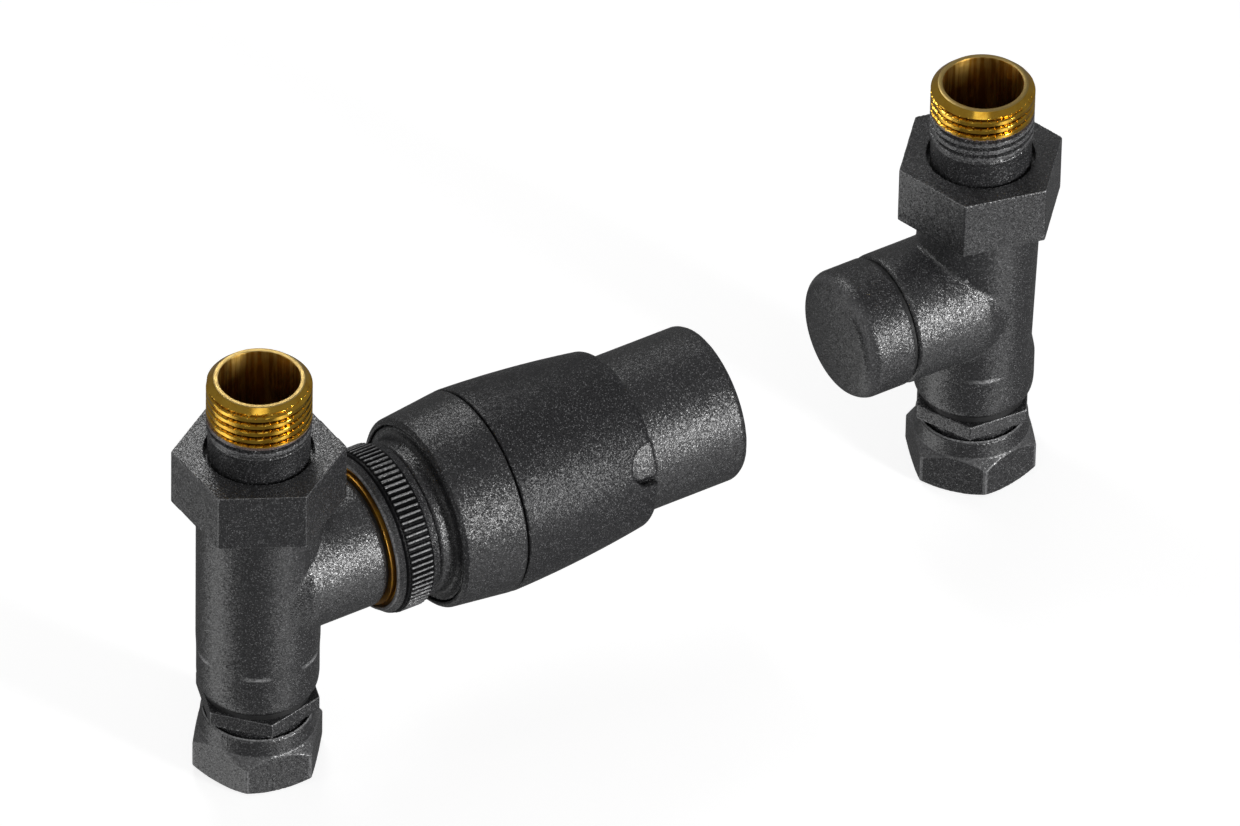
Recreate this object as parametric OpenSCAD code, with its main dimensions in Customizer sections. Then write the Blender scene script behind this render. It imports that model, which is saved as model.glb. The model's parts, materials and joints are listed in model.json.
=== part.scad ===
// Straight radiator valve set: a thermostatic valve with its sensor head, and its lockshield valve.
// Both valves stand upright, pipe end down and radiator tail up. The thermostatic head points
// along +X, the lockshield cap points back along -X. Millimetres.
// The origin is the centre of the thermostatic valve's pipe mouth.

/* [Layout] */
// Distance between the two valves along the head's axis
ls_x = 171; // [160:1:220]
// Sideways offset of the lockshield valve
ls_y = 5; // [-10:0.5:10]

/* [Pipe end] */
// Outside diameter of the copper pipe that both valves take
pipe_d = 15; // [12:0.1:15.4]
// Size across the flats of the compression nut
comp_af = 24; // [24:0.5:30]
// Height of the compression nut, its collar included
comp_h = 13; // [12:0.1:17]
// Height of the hexagon on the compression nut
comp_hex_h = 6.9; // [5:0.1:9]
// Radius of the thread inside the compression nut
comp_thread_r = 10.2; // [9.8:0.05:10.6]
// Radius of the compression nut's collar at its top
comp_collar_r = 11.15; // [11:0.05:11.8]
// Height of the olive that grips the pipe
olive_h = 6.6; // [5:0.1:7]
// Radius of the olive
olive_r = 8.9; // [8.7:0.05:9.2]
// Height of the cone at each end of the olive
olive_nose = 1.3; // [0.8:0.1:1.6]
// Height of the compression nut's wall round the pipe
comp_wall_h = 3.2; // [2.5:0.1:4]
// Depth to which the pipe pushes into the adaptor
socket_depth = 10; // [8:0.1:12]
// Free height between the compression nut and the adaptor's hexagon
adaptor_gap = 1.8; // [1:0.1:4]
// Size across the flats of the adaptor's hexagon
adaptor_af = 22.3; // [22:0.1:26]
// Height of the adaptor's hexagon
adaptor_hex_h = 3.3; // [2.5:0.1:6]
// Radius of the adaptor's thread in the valve body
adaptor_thread_r = 9.5; // [9:0.1:9.8]
// Length of the adaptor's thread in the valve body
adaptor_thread_l = 9; // [7:0.5:10]
// Thickness of the rubber seal under the valve body
adaptor_seal_t = 1.2; // [0.8:0.1:2]

/* [Valve body] */
// Radius of the upright barrel
barrel_r = 12.4; // [12.2:0.1:13.5]
// Radius of the barrel at its foot
foot_r = 11.4; // [11.2:0.1:12]
// Height over which the barrel narrows to its foot
foot_h = 12.2; // [8:0.1:14]
// Height of the valve body
body_h = 53.3; // [52:0.1:66]
// Length of the threaded top of the body inside the union nut
body_thread_l = 5.6; // [4:0.1:8]
// Radius of the thread on top of the body
body_thread_r = 13.1; // [13:0.05:13.6]
// Radius of the two water passages inside the body
passage_r = 4.6; // [3.5:0.1:4.8]
// Distance of each water passage from the barrel's axis
passage_x = 5.3; // [5.2:0.1:6]
// Radius of the valve seat
seat_r = 4.2; // [3:0.1:4.4]
// Distance of the valve seat's face from the barrel's axis
seat_x = 1.5; // [1:0.1:2.5]
// Radius of the chamber in the branch
chamber_r = 9; // [8:0.1:9.2]
// Radius of the threaded mouth of the branch
mouth_r = 9.5; // [9.3:0.1:10]

/* [Union nut and tail] */
// Size across the flats of the union nut
union_af = 30; // [30:0.5:36]
// Height of the union nut
union_h = 12.9; // [12:0.1:16]
// Thickness of the union nut's top lip
union_lip = 2.3; // [1.5:0.1:3]
// Radius of the hole in the union nut's lip
union_hole_r = 10.9; // [10.8:0.05:11.6]
// Radius of the tail's thread, half of 20.955 for G 1/2
tail_thread_r = 10.478; // [10.3:0.001:10.7]
// Length of the tail's thread, its chamfer included
tail_thread_l = 13.2; // [10:0.1:15]
// Height of the tail above the union nut
tail_proud = 18.3; // [16:0.1:30]
// Radius of the tail's plain shank
tail_shank_r = 10.15; // [9.8:0.05:10.25]
// Radius of the tail's bore
tail_bore_r = 8.05; // [6.5:0.05:8.3]
// Radius of the flat rim on top of the tail
tail_rim_r = 9.1; // [8.9:0.05:9.6]
// Thickness of the tail's flange under the union nut's lip
tail_flange_t = 2.9; // [2:0.1:4]
// Thickness of the washer between the tail and the body
tail_seal_t = 1.2; // [0.8:0.1:2]

/* [Thermostatic branch] */
// Height of the branch's axis above the body's foot
trv_rise = 27.5; // [26:0.1:32]
// Radius of the thermostatic valve's branch
trv_branch_r = 13.9; // [13.4:0.1:15]
// Distance from the barrel's axis to the end of the branch
trv_branch_l = 21.5; // [21:0.1:30]
// Thickness of the rubber ring between the branch and the insert
insert_seal_t = 0.7; // [0.5:0.05:1.5]
// Radius of that rubber ring
insert_seal_r = 13; // [12:0.1:13.4]
// How far the insert's bright shoulder lies inside its thread
shoulder_step = 0.75; // [0.4:0.05:1.2]
// Thickness of the insert's bright shoulder
shoulder_t = 1.2; // [0.8:0.1:2]
// Radius of the insert's M30 thread
insert_thread_r = 14.95; // [12.4:0.01:15]
// Length of the insert's M30 thread
insert_thread_l = 5.6; // [5:0.1:7]
// Radius of the insert's spindle
spindle_r = 2; // [1.5:0.1:2.5]
// Distance from the seat to the washer at the middle setting
lift = 1.6; // [1.6:0.05:2.5]
// Thickness of each seat washer
washer_t = 1; // [0.8:0.1:1.5]
// Radius of each seat washer
washer_r = 5.8; // [5.2:0.1:6.2]
// Thickness of each disc behind a seat washer
disc_t = 2.1; // [1.5:0.1:2.5]
// Radius of each disc behind a seat washer
disc_r = 6.4; // [6:0.1:7]
// Radius of the insert's spring
spring_r = 4.6; // [4:0.1:4.8]
// Wire diameter of the insert's spring
spring_wire = 0.8; // [0.5:0.05:1]

/* [Collar nut] */
// Radius over the knurl
knurl_r = 17.05; // [16.6:0.05:18]
// Number of ribs in the knurl
knurl_count = 78; // [40:1:96]
// Depth of the grooves between the ribs
knurl_depth = 0.42; // [0.2:0.02:0.5]
// Length of the knurled band
knurl_l = 5.3; // [4:0.1:5.6]
// Radius of the plain edge in front of the knurl
collar_r = 16.8; // [16.4:0.05:17.6]
// Width of the bevel on the collar nut's mouth
collar_bevel = 1.6; // [1:0.1:1.8]
// Length of the collar nut
collar_l = 9.6; // [9.2:0.1:12]
// Thickness of the lip that holds the snap ring
collar_lip = 1.75; // [1.2:0.05:2]

/* [Head] */
// Radius of the neck between the collar nut and the lower sleeve
neck_r = 16; // [15:0.1:16.6]
// Length of the neck between the collar nut and the lower sleeve
neck_l = 3.3; // [2.5:0.1:4]
// Radius of the inside corner where the neck runs into its disc
neck_fillet = 1; // [0.5:0.1:1.2]
// Depth of the neck's disc behind the lower sleeve's face
neck_disc_recess = 0.4; // [0.1:0.1:1]
// Radius of the neck's tube, on which the handle turns
tube_r = 14.5; // [12:0.1:14.6]
// Radius of the lower sleeve's mouth
sleeve_mouth_r = 18.57; // [18:0.01:18.9]
// Depth of the lower sleeve's mouth
sleeve_mouth_l = 3.4; // [2.5:0.1:4]
// Radius of the lower sleeve at its mouth
lower_r = 19.9; // [19.6:0.05:20.5]
// Length of the lower sleeve
lower_l = 13.7; // [12:0.1:16]
// Radius of the sleeves where they meet
joint_r = 21.35; // [21:0.05:22]
// Gap between the two sleeves
joint_gap = 0.3; // [0.2:0.05:0.5]
// Length of the outer sleeve
outer_l = 32.2; // [31:0.1:42]
// Radius of the outer sleeve where its shoulder begins
shoulder_start_r = 18.75; // [18.5:0.05:19.2]
// Bulge of the outer sleeve's side above a straight cone
outer_crown = 0.45; // [0.2:0.05:0.8]
// Radius of the rounded shoulder of the outer sleeve
shoulder_round = 2.2; // [1.5:0.1:2.25]
// Radius of the end sleeve
end_r = 16.35; // [16:0.05:16.5]
// Length of the end sleeve beyond the outer sleeve
end_l = 21.8; // [15:0.1:30]
// Chamfer of the end sleeve's closed end
end_chamfer = 1.1; // [0.5:0.1:2]
// Wall of the end sleeve
end_wall = 1.3; // [1.1:0.05:1.5]
// Radius of the notch in the outer sleeve's shoulder
notch_r = 4.4; // [4:0.1:5]
// Distance from the notch's centre to the outer sleeve's end
notch_back = 1.9; // [1:0.1:3]
// Angle of the notch around the head, from straight up towards -Y
notch_angle = 70; // [0:5:355]
// Play between the notch and the lug that fills it
lug_play = 0.15; // [0.1:0.05:0.5]
// Width of the gap left open below the lug
lug_gap = 1.2; // [0.8:0.1:2]
// Height of the lug over the end sleeve
lug_h = 1.1; // [0.5:0.1:1.6]
// Radius of the liquid-filled sensor capsule
capsule_r = 11.4; // [10:0.1:11.8]
// Length of the sensor capsule
capsule_l = 36; // [25:1:37]
// Radius of the push rod
rod_r = 3; // [2.5:0.1:3.5]

/* [Lockshield branch] */
// Height of the branch's axis above the body's foot
ls_rise = 25.9; // [25:0.1:32]
// Radius of the lockshield valve's branch
ls_branch_r = 13.65; // [13:0.05:14.5]
// Distance from the barrel's axis to the end of the branch
ls_branch_l = 22; // [21.5:0.1:28]
// Thickness of the rubber ring under the bonnet
bonnet_seal_t = 0.7; // [0.5:0.05:1.5]
// Size across the flats of the bonnet's hexagon
bonnet_af = 19; // [17:0.1:19.5]
// Height of the bonnet's hexagon
bonnet_hex_h = 3.8; // [3:0.1:5]
// Radius of the lockshield spindle
ls_spindle_r = 3; // [2.5:0.1:3.5]
// Radius of the threaded part of the lockshield spindle
ls_screw_r = 4.6; // [4:0.1:5]
// Size across the flats of the spindle's square end
square_af = 4; // [3:0.1:4.2]
// Radius of the lockshield cap
cap_r = 13.52; // [13:0.02:14.5]
// Length of the lockshield cap, its dome included
cap_l = 11.5; // [11:0.1:16]
// Radius of the rounding around the cap's end
cap_round = 2.4; // [1:0.1:3]
// Height of the cap's shallow dome
cap_dome = 0.6; // [0.3:0.05:1.5]
// Thickness of the cap's end
cap_end_t = 1.6; // [1.5:0.1:3]

/* [Turned positions] */
// Angle of the thermostatic valve's union nut
trv_union_turn = 32; // [0:1:60]
// Angle of the thermostatic valve's adaptor
trv_adaptor_turn = 12; // [0:1:60]
// Angle of the thermostatic valve's compression nut
trv_comp_turn = 50; // [0:1:60]
// Angle of the lockshield valve's union nut
ls_union_turn = 47; // [0:1:60]
// Angle of the lockshield valve's adaptor
ls_adaptor_turn = 56; // [0:1:60]
// Angle of the lockshield valve's compression nut
ls_comp_turn = 10; // [0:1:60]

/* [Hidden] */

$fn = 96;
// Overshoot of a cut past the face that it goes through
over = 1;
// Radial clearance of a fit in which something turns or slides
run = 0.05;
// Clearance between fixed pieces that are screwed or pushed together
seat = 0.05;
// Chamfer of the large turned edges
edge = 0.8;
// Chamfer at the ends of the threads and of the small turned edges
fine_edge = 0.5;
// Play of a ring in its groove, at each face
groove_play = 0.05;
// How far a branch's cone starts behind the barrel's axis, and where it ends
root_back = 4;
root_front = 5;

// Colours of the finishes
coat = "#3a3b3d";
bright_brass = "#c9a24a";
steel = "#b9bcc0";
black_rubber = "#141414";
white_plastic = "#d8d8d4";

// Pipe end: heights above the foot of the compression nut
pipe_r = pipe_d / 2 + run;
nose_r = pipe_r + 0.35;
cone_gap = 0.15;
nose_slope = olive_nose / (olive_r - nose_r);
olive_z = comp_wall_h + (nose_r + cone_gap - pipe_r) * nose_slope;
adaptor_z = olive_z + olive_h - olive_nose;
hex_z = comp_h + adaptor_gap;
seal_z = hex_z + adaptor_hex_h;
foot_z = seal_z + adaptor_seal_t;
bore_r = pipe_r - 1.1;
adaptor_top = foot_z + adaptor_thread_l;

// Valve body: heights above the foot of the compression nut
body_top = foot_z + body_h;
union_z = body_top - body_thread_l - 0.7;
lip_z = union_z + union_h - union_lip;
tail_seat = body_top + tail_seal_t;
tail_top = union_z + union_h + tail_proud;
flange_top = tail_seat + tail_flange_t;
top_bore_l = 8.5;
trv_axis_z = foot_z + trv_rise;
ls_axis_z = foot_z + ls_rise;

// Distances along the thermostatic branch, from the barrel's axis
shoulder_r = insert_thread_r - shoulder_step;
insert_seal_x = trv_branch_l;
shoulder_x = insert_seal_x + insert_seal_t;
thread_x = shoulder_x + shoulder_t;
insert_end = thread_x + insert_thread_l;
insert_nose = trv_branch_l - 12;
insert_floor = insert_nose + 2.2;
gland_x = insert_end - 5.5;
gland_ring_x = gland_x + 1;
gland_ring_r = 0.75;
washer_x = seat_x + lift;
disc_x = washer_x + washer_t;
spindle_x = disc_x + disc_t;
spindle_end = insert_end + 2.2;
spring_stop = gland_x - 2.9;
spring_stop_t = 1;
spring_stop_r = spring_r + 0.5;
spring_chamber_r = spring_r + 0.8;
collar_x = shoulder_x + shoulder_t / 2;
collar_end = collar_x + collar_l;
knurl_x = collar_x + collar_bevel + 0.7;

// Distances along the head, from the barrel's axis
neck_x = insert_end + seat;
ring_pocket = 1.2;
groove_depth = 0.7;
ring_x = collar_end - collar_lip - ring_pocket - 0.15;
neck_in_r = insert_thread_r - 1.35;
flange_x = collar_end + 0.15;
lower_x = flange_x + neck_l;
neck_disc_x = lower_x + neck_disc_recess;
neck_disc_r = sleeve_mouth_r - 0.2;
web_x = lower_x + sleeve_mouth_l;
web_t = 2;
lower_end = lower_x + lower_l;
outer_x = lower_end + joint_gap;
outer_end = outer_x + outer_l;
head_end = outer_end + end_l;
sleeve_wall = 2;
shoulder_wall = 2.4;
hub_l = 8;
hub_t = 1.6;
hub_web_x = outer_x + 2;
tube_end = outer_x + hub_l + 2.4;
clip_x = outer_x + hub_l + 0.3;
clip_pocket = 0.9;
guide_x = web_x + 1;
guide_l = 4;
tube_in_r = tube_r - 2.5;
rod_x = spindle_end + seat;
rod_flange_x = outer_x + 1.5;
rod_flange_t = 1.2;
rod_flange_r = tube_in_r - 3;
relief_wire = 1.1;
capsule_x = tube_end + 2;
setting_x = capsule_x + 8;
setting_l = 6;
end_in_r = end_r - end_wall;
end_front = tube_end + 1;
rib_x = end_front + 2;
rib_t = 2;
end_flange_r = end_r + 1.1;
end_cap_t = 1.4;
capsule_round = 2.5;
capsule_wall = 1.2;
fill_hole_r = 1.5;
notch_x = outer_end - notch_back;

// Distances along the lockshield branch, from the barrel's axis
bonnet_seal_x = ls_branch_l;
bonnet_x = bonnet_seal_x + bonnet_seal_t;
bonnet_nose = ls_branch_l - 12;
bonnet_flange_t = 0.6;
bonnet_end = bonnet_x + bonnet_flange_t + bonnet_hex_h;
bonnet_seal_r = cap_r - 0.7;
ls_washer_x = seat_x + lift;
ls_disc_x = ls_washer_x + washer_t;
ls_spindle_x = ls_disc_x + disc_t;
screw_x = bonnet_nose + 2;
screw_l = 7.6;
ls_gland_x = bonnet_x + 1.2;
square_l = 2.6;
ls_spindle_end = bonnet_end + 3.1;
cap_gap = 0.1;
cap_x = bonnet_x + cap_gap;
cap_end = cap_x + cap_l;
cap_in_r = bonnet_af / 2 / cos(30) + 0.08;

// A turned ring between two heights
module ring(r_out, r_in, z0, z1) {
    rotate_extrude() translate([r_in, z0]) square([r_out - r_in, z1 - z0]);
}

// A solid turned from an outline of [radius, height] points
module turned(points) {
    rotate_extrude() polygon(points);
}

// A hexagonal prism given by its size across the flats
module hex(af, z0, z1, turn) {
    rotate([0, 0, turn]) translate([0, 0, z0]) cylinder(r = af / 2 / cos(30), h = z1 - z0, $fn = 6);
}

// A compression spring, made of closed round turns that lie less than two wires apart
module spring_turns(r, wire, z0, z1) {
    turns = 1 + ceil((z1 - z0 - wire) / (1.8 * wire));
    pitch = (z1 - z0 - wire) / (turns - 1);
    for (i = [0 : turns - 1])
        translate([0, 0, z0 + wire / 2 + i * pitch]) rotate_extrude() translate([r, 0]) circle(d = wire);
}

// An O-ring that lies round a shaft
module o_ring(r_in, r_wire, z0) {
    translate([0, 0, z0 + r_wire]) rotate_extrude() translate([r_in + r_wire, 0]) circle(r = r_wire);
}

module at_trv_branch() translate([0, 0, trv_axis_z]) rotate([0, 90, 0]) children();
module at_ls() translate([ls_x, ls_y, 0]) children();
module at_ls_branch() at_ls() translate([0, 0, ls_axis_z]) rotate([0, -90, 0]) children();

// Outside of a valve body, with its branch along +X and its foot at height 0
module body_outside(rise, branch_r, branch_l) {
    neck_z = union_z - foot_z;
    turned([[0, 0], [foot_r - edge, 0], [foot_r, edge], [foot_r + 0.35, foot_h / 4],
            [barrel_r, foot_h], [barrel_r, neck_z + edge], [body_thread_r, neck_z + edge + fine_edge],
            [body_thread_r, body_h - edge], [body_thread_r - edge, body_h], [0, body_h]]);
    translate([0, 0, rise]) rotate([0, 90, 0]) {
        translate([0, 0, -root_back])
            cylinder(r1 = sqrt(barrel_r * barrel_r - root_back * root_back) - fine_edge,
                     r2 = branch_r, h = root_back + root_front);
        translate([0, 0, root_front]) cylinder(r = branch_r, h = branch_l - root_front - fine_edge);
        translate([0, 0, branch_l - fine_edge])
            cylinder(r1 = branch_r, r2 = branch_r - fine_edge, h = fine_edge);
    }
}

// Water passages of a valve body: up one side, through the seat and up the other side
module body_passages(rise, branch_l) {
    translate([0, 0, -over]) cylinder(r = adaptor_thread_r + seat, h = adaptor_thread_l + over + 0.5);
    translate([-passage_x, 0, 0]) cylinder(r = passage_r, h = rise + seat_r);
    translate([passage_x, 0, rise]) cylinder(r = passage_r, h = body_h - rise);
    translate([0, 0, body_h - top_bore_l]) cylinder(r = tail_bore_r, h = top_bore_l + over);
    translate([0, 0, rise]) rotate([0, 90, 0]) {
        translate([0, 0, -passage_x]) cylinder(r = seat_r, h = passage_x + seat_x + over);
        translate([0, 0, seat_x]) cylinder(r = chamber_r, h = branch_l - seat_x);
        translate([0, 0, branch_l - 13]) cylinder(r = mouth_r, h = 13 + over);
    }
}

module valve_body(rise, branch_r, branch_l) {
    color(coat) translate([0, 0, foot_z]) difference() {
        body_outside(rise, branch_r, branch_l);
        body_passages(rise, branch_l);
    }
}

module trv_valve_body() {
    valve_body(trv_rise, trv_branch_r, trv_branch_l);
}

module ls_valve_body() {
    at_ls() rotate([0, 0, 180]) valve_body(ls_rise, ls_branch_r, ls_branch_l);
}

module union_nut(turn) {
    color(coat) difference() {
        hex(union_af, union_z, union_z + union_h, turn);
        translate([0, 0, union_z - over]) cylinder(r = body_thread_r + run, h = over + union_h - union_lip);
        translate([0, 0, union_z]) cylinder(r = union_hole_r, h = union_h + over);
    }
}

module tailpiece() {
    thread_z = tail_top - tail_thread_l;
    chamfer = tail_thread_r - tail_rim_r;
    flange_r = body_thread_r - 0.1;
    bore_edge = 0.25;
    color(bright_brass) turned([
        [tail_bore_r, tail_seat], [flange_r, tail_seat], [flange_r, flange_top],
        [tail_shank_r, flange_top], [tail_shank_r, thread_z],
        [tail_thread_r, thread_z + tail_thread_r - tail_shank_r],
        [tail_thread_r, tail_top - chamfer], [tail_rim_r, tail_top],
        [tail_bore_r + bore_edge, tail_top], [tail_bore_r, tail_top - bore_edge]]);
}

module tail_washer() {
    color(black_rubber) ring(body_thread_r - edge, tail_bore_r + fine_edge, body_top, tail_seat);
}

module pipe_adaptor(turn) {
    thread_r = comp_thread_r - run;
    color(coat) difference() {
        union() {
            hex(adaptor_af, hex_z, seal_z, turn);
            turned([[0, adaptor_z], [thread_r - edge, adaptor_z], [thread_r, adaptor_z + edge],
                    [thread_r, hex_z + over], [0, hex_z + over]]);
            translate([0, 0, seal_z - over]) cylinder(r = adaptor_thread_r, h = adaptor_top - seal_z + over);
        }
        translate([0, 0, adaptor_z]) cylinder(r = pipe_r, h = socket_depth);
        translate([0, 0, adaptor_z]) cylinder(r = bore_r, h = adaptor_top - adaptor_z + over);
        translate([0, 0, adaptor_z])
            cylinder(r1 = olive_r + cone_gap, r2 = nose_r + cone_gap, h = olive_nose);
    }
}

module adaptor_seal() {
    color(black_rubber) ring(foot_r - fine_edge, adaptor_thread_r + seat, seal_z, foot_z);
}

// The olive is a barrel-shaped ring with a cone at each end
module olive() {
    olive_top = olive_z + olive_h;
    color(bright_brass) turned([
        [pipe_r, olive_z], [nose_r, olive_z], [olive_r, olive_z + olive_nose],
        [olive_r, olive_top - olive_nose], [nose_r, olive_top], [pipe_r, olive_top]]);
}

// The collar of the compression nut is round and runs out over the hexagon's corners
module compression_nut(turn) {
    hex_r = comp_af / 2 / cos(30);
    flat_r = comp_af / 2;
    corner = (hex_r - flat_r) * tan(30);
    patch_h = hex_r - flat_r;
    foot_of_collar = flat_r - seat;
    cone_h = (comp_thread_r - pipe_r) * nose_slope;
    color(coat) difference() {
        union() {
            intersection() {
                hex(comp_af, 0, comp_hex_h + patch_h, turn);
                turned([[0, 0], [flat_r, 0], [hex_r, corner], [hex_r, comp_hex_h],
                        [flat_r, comp_hex_h + patch_h], [0, comp_hex_h + patch_h]]);
            }
            turned([[0, over], [foot_of_collar, over], [foot_of_collar, comp_hex_h + fine_edge],
                    [comp_collar_r + fine_edge / 2, comp_h - fine_edge],
                    [comp_collar_r - fine_edge / 2, comp_h], [0, comp_h]]);
        }
        translate([0, 0, -over]) cylinder(r = pipe_r, h = over + comp_h);
        translate([0, 0, comp_wall_h]) cylinder(r1 = pipe_r, r2 = comp_thread_r, h = cone_h);
        translate([0, 0, comp_wall_h + cone_h]) cylinder(r = comp_thread_r, h = comp_h);
    }
}

// The groove for an O-ring in the wall round a shaft
module gland_groove(shaft_r, z0) {
    translate([0, 0, z0 - groove_play])
        cylinder(r = shaft_r + run + 2 * gland_ring_r, h = 2 * (gland_ring_r + groove_play));
}

module insert_housing() {
    body_r = mouth_r - seat;
    color(bright_brass) at_trv_branch() difference() {
        turned([[0, insert_nose], [body_r, insert_nose], [body_r, shoulder_x],
                [shoulder_r, shoulder_x], [shoulder_r, thread_x],
                [insert_thread_r, thread_x + fine_edge], [insert_thread_r, insert_end - fine_edge],
                [insert_thread_r - fine_edge, insert_end], [0, insert_end]]);
        translate([0, 0, insert_floor]) cylinder(r = spring_chamber_r, h = gland_x - insert_floor);
        translate([0, 0, insert_nose - over]) cylinder(r = spindle_r + run, h = insert_end);
        gland_groove(spindle_r, gland_ring_x);
    }
}

module insert_seal() {
    color(black_rubber) at_trv_branch() ring(insert_seal_r, mouth_r + seat, insert_seal_x, shoulder_x);
}

module gland_ring() {
    color(black_rubber) at_trv_branch() o_ring(spindle_r + run, gland_ring_r, gland_ring_x);
}

module insert_spindle() {
    color(steel) at_trv_branch() turned([
        [0, spindle_x], [spindle_r, spindle_x], [spindle_r, spring_stop],
        [spring_stop_r, spring_stop], [spring_stop_r, spring_stop + spring_stop_t],
        [spindle_r, spring_stop + spring_stop_t], [spindle_r, spindle_end - fine_edge],
        [spindle_r - fine_edge, spindle_end], [0, spindle_end]]);
}

module insert_spring() {
    color(steel) at_trv_branch() spring_turns(spring_r, spring_wire, insert_floor, spring_stop);
}

module valve_disc(x) {
    color(bright_brass) ring(disc_r, 0, x, x + disc_t);
}

module seat_washer(x) {
    color(black_rubber) ring(washer_r, 0, x, x + washer_t);
}

// Knurl outline: straight ribs with narrow flat tops, each corner at a share of the rib's pitch
module knurl_outline() {
    step = 360 / knurl_count;
    root = knurl_r - knurl_depth;
    rib = [[0.12, root], [0.38, knurl_r], [0.62, knurl_r], [0.88, root]];
    polygon([for (i = [0 : knurl_count - 1], corner = rib)
             let (a = (i + corner[0]) * step) corner[1] * [cos(a), sin(a)]]);
}

module collar_nut() {
    bore = insert_thread_r + run;
    mouth_edge = bore + fine_edge / 2;
    core_r = knurl_r - knurl_depth - 0.1;
    color(coat) at_trv_branch() difference() {
        union() {
            translate([0, 0, knurl_x]) linear_extrude(knurl_l) knurl_outline();
            turned([[0, collar_x], [mouth_edge, collar_x],
                    [collar_r - 0.2, collar_x + collar_bevel], [collar_r, collar_x + collar_bevel + 0.3],
                    [collar_r, knurl_x + 0.1], [core_r, knurl_x + 0.2],
                    [core_r, knurl_x + knurl_l + 0.3], [collar_r - edge, collar_end], [0, collar_end]]);
        }
        translate([0, 0, collar_x - over]) cylinder(r = bore, h = over + collar_l - collar_lip);
        translate([0, 0, collar_x]) cylinder(r = neck_in_r + run, h = collar_l + over);
    }
}

// The neck is one turned tube: it bears on the insert, its disc closes the lower sleeve's mouth,
// and it carries both sleeves
module head_neck() {
    disc_end = web_x - seat;
    disc_edge = fine_edge / 2;
    color(coat) at_trv_branch() difference() {
        rotate_extrude() union() {
            polygon([[0, neck_x], [neck_in_r, neck_x], [neck_in_r, flange_x], [neck_r - fine_edge, flange_x],
                     [neck_r, flange_x + fine_edge], [neck_r, neck_disc_x],
                     [neck_disc_r - disc_edge, neck_disc_x], [neck_disc_r, neck_disc_x + disc_edge],
                     [neck_disc_r, disc_end], [tube_r, disc_end], [tube_r, tube_end], [0, tube_end]]);
            translate([neck_r, neck_disc_x - neck_fillet]) difference() {
                square(neck_fillet);
                translate([neck_fillet, 0]) circle(r = neck_fillet);
            }
        }
        ring(neck_in_r + over, neck_in_r - groove_depth, ring_x, ring_x + ring_pocket);
        ring(tube_r + over, tube_r - groove_depth, clip_x, clip_x + clip_pocket);
        translate([0, 0, neck_x - over]) cylinder(r = spring_chamber_r, h = guide_x - neck_x + over);
        translate([0, 0, guide_x - over]) cylinder(r = rod_r + run, h = tube_end);
        translate([0, 0, guide_x + guide_l]) cylinder(r = tube_in_r, h = tube_end);
    }
}

// A ring split on one side, so that it can be sprung into its groove
module split_ring(r_out, r_in, z0, z1) {
    split = 2;
    difference() {
        ring(r_out, r_in, z0, z1);
        translate([-r_out - over, -split / 2, z0 - over]) cube([r_out, split, z1 - z0 + 2 * over]);
    }
}

module snap_ring() {
    color(steel) at_trv_branch()
        split_ring(insert_thread_r - run, neck_in_r - groove_depth + groove_play,
                   ring_x + groove_play, ring_x + ring_pocket - groove_play);
}

module handle_clip() {
    color(steel) at_trv_branch()
        split_ring(tube_r + 1.1, tube_r - groove_depth + groove_play,
                   clip_x + groove_play, clip_x + clip_pocket - groove_play);
}

// The lower sleeve is a cover that stays still
module lower_sleeve() {
    cavity_r = joint_r - sleeve_wall;
    color(coat) at_trv_branch() turned([
        [sleeve_mouth_r, lower_x], [lower_r - edge, lower_x], [lower_r, lower_x + edge],
        [joint_r - 0.1, lower_end - fine_edge / 2], [joint_r - 0.3, lower_end], [cavity_r, lower_end],
        [cavity_r, web_x + web_t], [tube_r + seat, web_x + web_t], [tube_r + seat, web_x],
        [sleeve_mouth_r, web_x]]);
}

// Outside outline of the outer sleeve: a crowned cone that runs into a rounded shoulder at its end
module outer_outline() {
    round_z = outer_end - shoulder_round;
    face_r = shoulder_start_r + 0.03 - shoulder_round;
    chord = norm([shoulder_start_r - joint_r, round_z - outer_x]);
    arc_r = (chord * chord / 4 + outer_crown * outer_crown) / (2 * outer_crown);
    side = [(round_z - outer_x) / chord, (joint_r - shoulder_start_r) / chord];
    middle = [(joint_r + shoulder_start_r) / 2, (outer_x + round_z) / 2];
    intersection() {
        translate(middle + side * (outer_crown - arc_r)) circle(r = arc_r, $fn = 720);
        union() {
            translate([0, outer_x]) square([2 * joint_r, round_z - outer_x]);
            translate([0, round_z]) square([face_r, shoulder_round]);
            translate([face_r, round_z]) intersection() {
                circle(r = shoulder_round);
                square(shoulder_round);
            }
        }
    }
}

// The outer sleeve is the handle: it turns on the neck's tube
module outer_sleeve() {
    cavity_r = joint_r - sleeve_wall;
    rear_r = shoulder_start_r - sleeve_wall + 0.25;
    hub_r = tube_r + hub_t;
    bore = end_r + seat;
    shoulder_inside = outer_end - shoulder_wall;
    color(coat) at_trv_branch() difference() {
        rotate_extrude() outer_outline();
        ring(cavity_r, hub_r, outer_x - over, hub_web_x);
        turned([[hub_r, hub_web_x + web_t], [cavity_r - 0.1, hub_web_x + web_t],
                [rear_r + 0.8, rib_x - seat], [0, rib_x - seat], [0, outer_x + hub_l],
                [hub_r, outer_x + hub_l]]);
        turned([[bore, rib_x - over], [bore, rib_x + rib_t], [rear_r + 0.5, rib_x + rib_t],
                [rear_r, shoulder_inside], [bore, shoulder_inside], [bore, outer_end + over],
                [0, outer_end + over], [0, rib_x - over]]);
        translate([0, 0, outer_x - over]) cylinder(r = tube_r + run, h = hub_l + 2 * over);
        at_notch() cylinder(r = notch_r, h = 2 * joint_r);
        at_notch() translate([0, -notch_r, 0]) cube([2 * notch_r, 2 * notch_r, 2 * joint_r]);
    }
}

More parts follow.
